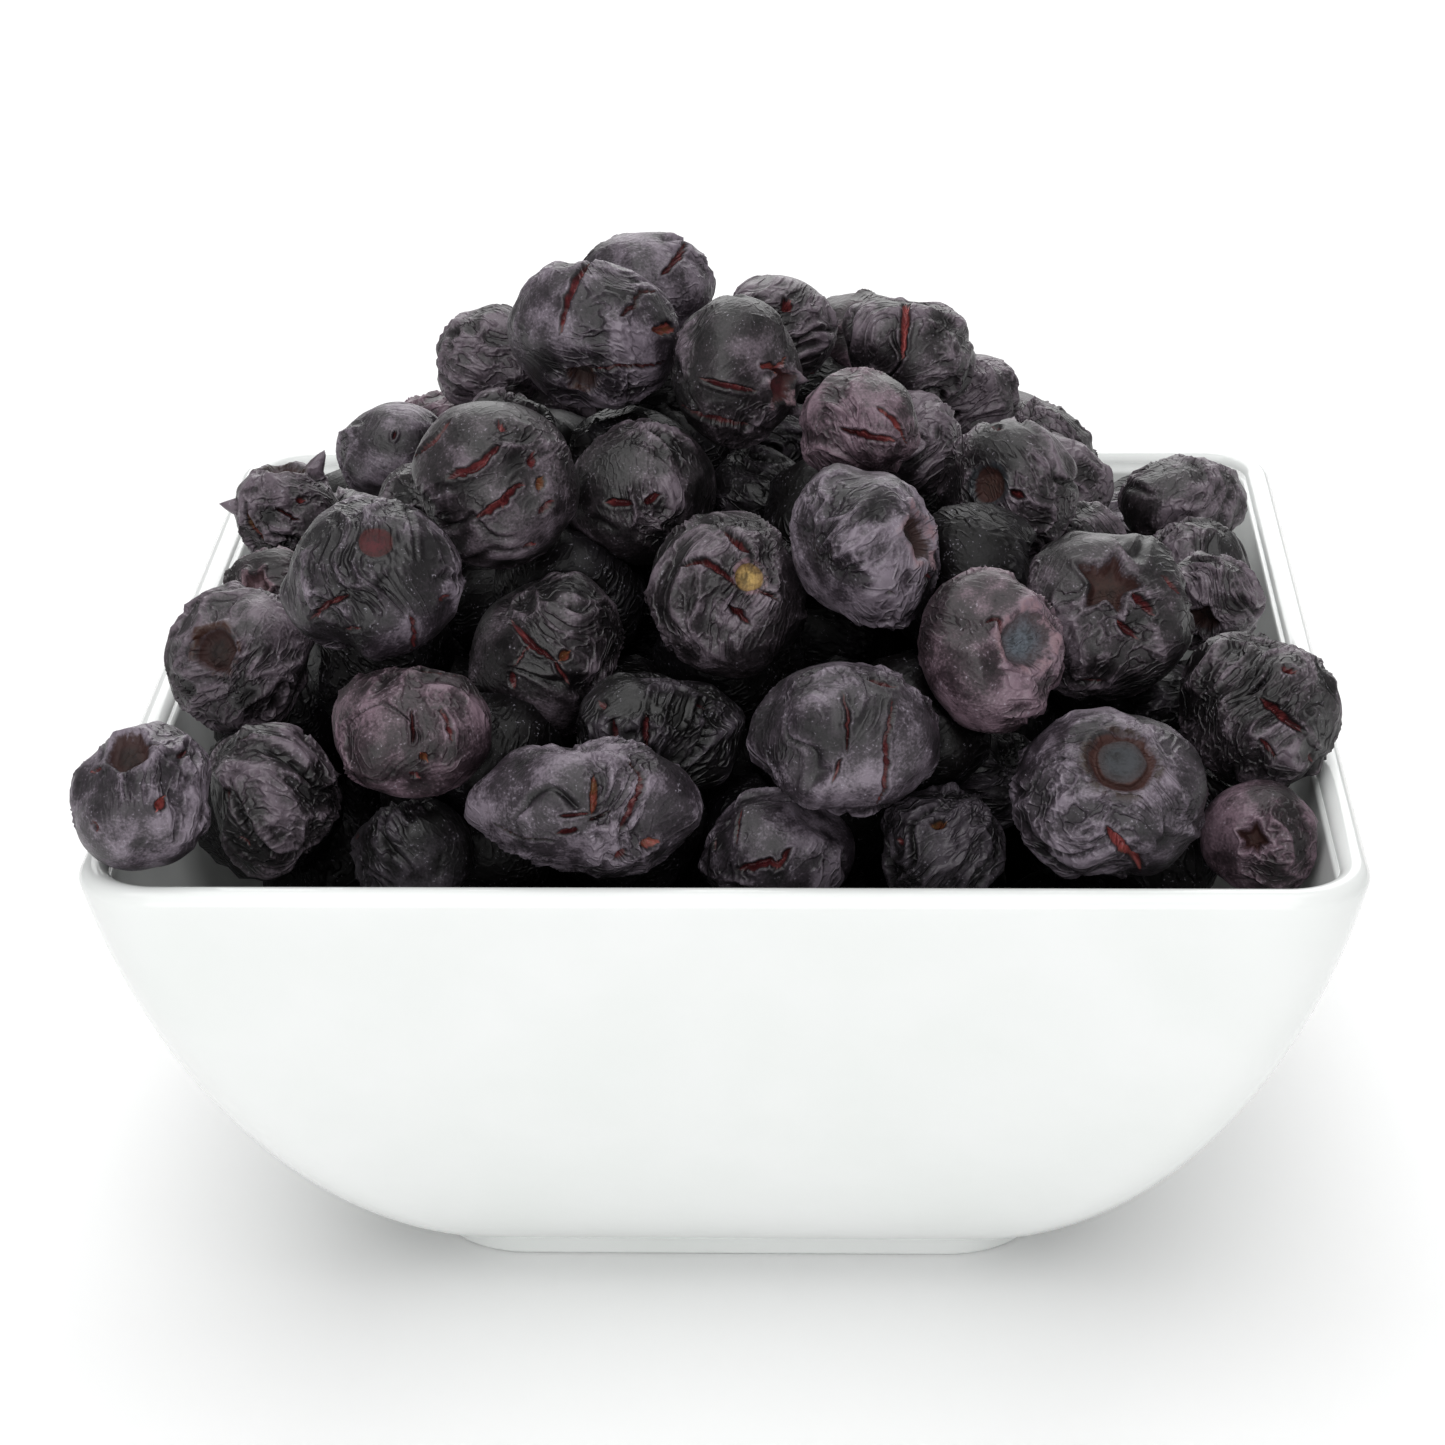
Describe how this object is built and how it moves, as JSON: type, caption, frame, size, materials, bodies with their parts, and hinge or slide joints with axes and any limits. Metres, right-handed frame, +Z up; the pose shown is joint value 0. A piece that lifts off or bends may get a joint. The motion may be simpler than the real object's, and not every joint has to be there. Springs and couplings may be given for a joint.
{
  "type": "bowl of freeze-dried blueberries",
  "caption": "Small square white porcelain bowl with a flared curved wall and a low foot ring, heaped with whole freeze-dried blueberries.",
  "frame": {"origin": "centre of the foot ring's underside, on the surface the bowl stands on", "axes": "+Z up, -Y out of the bowl's front, +X to the right seen from the front"},
  "size_m": [0.0953, 0.095, 0.0762],
  "materials": {
    "porcelain_glaze": "smooth glossy white glaze",
    "dried_blueberry_skin": "dry wrinkled charcoal skin with a satin sheen, a dusty blue-grey bloom and dark red cracks"
  },
  "bodies": {
    "root": {"bowl": "porcelain_glaze", "berry_peak_front": "dried_blueberry_skin", "berry_peak_back": "dried_blueberry_skin", "berry_peak_left": "dried_blueberry_skin", "berry_peak_right": "dried_blueberry_skin", "berry_top_middle": "dried_blueberry_skin", "berry_top_right": "dried_blueberry_skin", "berry_top_far_right": "dried_blueberry_skin", "berry_pink": "dried_blueberry_skin", "berry_behind_pink": "dried_blueberry_skin", "berry_brown_disc": "dried_blueberry_skin", "berry_right_shoulder": "dried_blueberry_skin", "berry_right_gap": "dried_blueberry_skin", "berry_right_upper": "dried_blueberry_skin", "berry_right_middle": "dried_blueberry_skin", "berry_right_star": "dried_blueberry_skin", "berry_brown_star": "dried_blueberry_skin", "berry_right_rim": "dried_blueberry_skin", "berry_ring_crown": "dried_blueberry_skin", "berry_front_right": "dried_blueberry_skin", "berry_grey_disc": "dried_blueberry_skin", "berry_blue_egg": "dried_blueberry_skin", "berry_stem_scar": "dried_blueberry_skin", "berry_front_oval": "dried_blueberry_skin", "berry_wide_oval": "dried_blueberry_skin", "berry_front_low": "dried_blueberry_skin", "berry_orange_patch": "dried_blueberry_skin", "berry_dark_fold": "dried_blueberry_skin", "berry_left_cracked": "dried_blueberry_skin", "berry_red_scar": "dried_blueberry_skin", "berry_slashed": "dried_blueberry_skin", "berry_left_smooth": "dried_blueberry_skin", "berry_upper_middle": "dried_blueberry_skin", "berry_shadow_right": "dried_blueberry_skin", "berry_sepals": "dried_blueberry_skin", "berry_left_oval": "dried_blueberry_skin", "berry_purple": "dried_blueberry_skin", "berry_ridged": "dried_blueberry_skin", "berry_front_left": "dried_blueberry_skin", "berry_low_left": "dried_blueberry_skin", "berry_gap_left": "dried_blueberry_skin", "berry_gap_far_left": "dried_blueberry_skin", "berry_torn_pale": "dried_blueberry_skin", "berry_gap_low_right": "dried_blueberry_skin", "berry_gap_right": "dried_blueberry_skin", "berry_gap_star": "dried_blueberry_skin", "berry_gap_top": "dried_blueberry_skin", "berry_back_top": "dried_blueberry_skin", "berry_back_top_left": "dried_blueberry_skin", "berry_back_top_right": "dried_blueberry_skin", "berry_back_middle": "dried_blueberry_skin", "berry_back_middle_left": "dried_blueberry_skin", "berry_back_middle_right": "dried_blueberry_skin", "berry_back_left": "dried_blueberry_skin", "berry_back_right": "dried_blueberry_skin", "berry_back_rim_left": "dried_blueberry_skin", "berry_back_rim_right": "dried_blueberry_skin", "berries_back_row": "dried_blueberry_skin", "berries_under_front": "dried_blueberry_skin", "berries_under_back": "dried_blueberry_skin"}
  },
  "joints": []
}
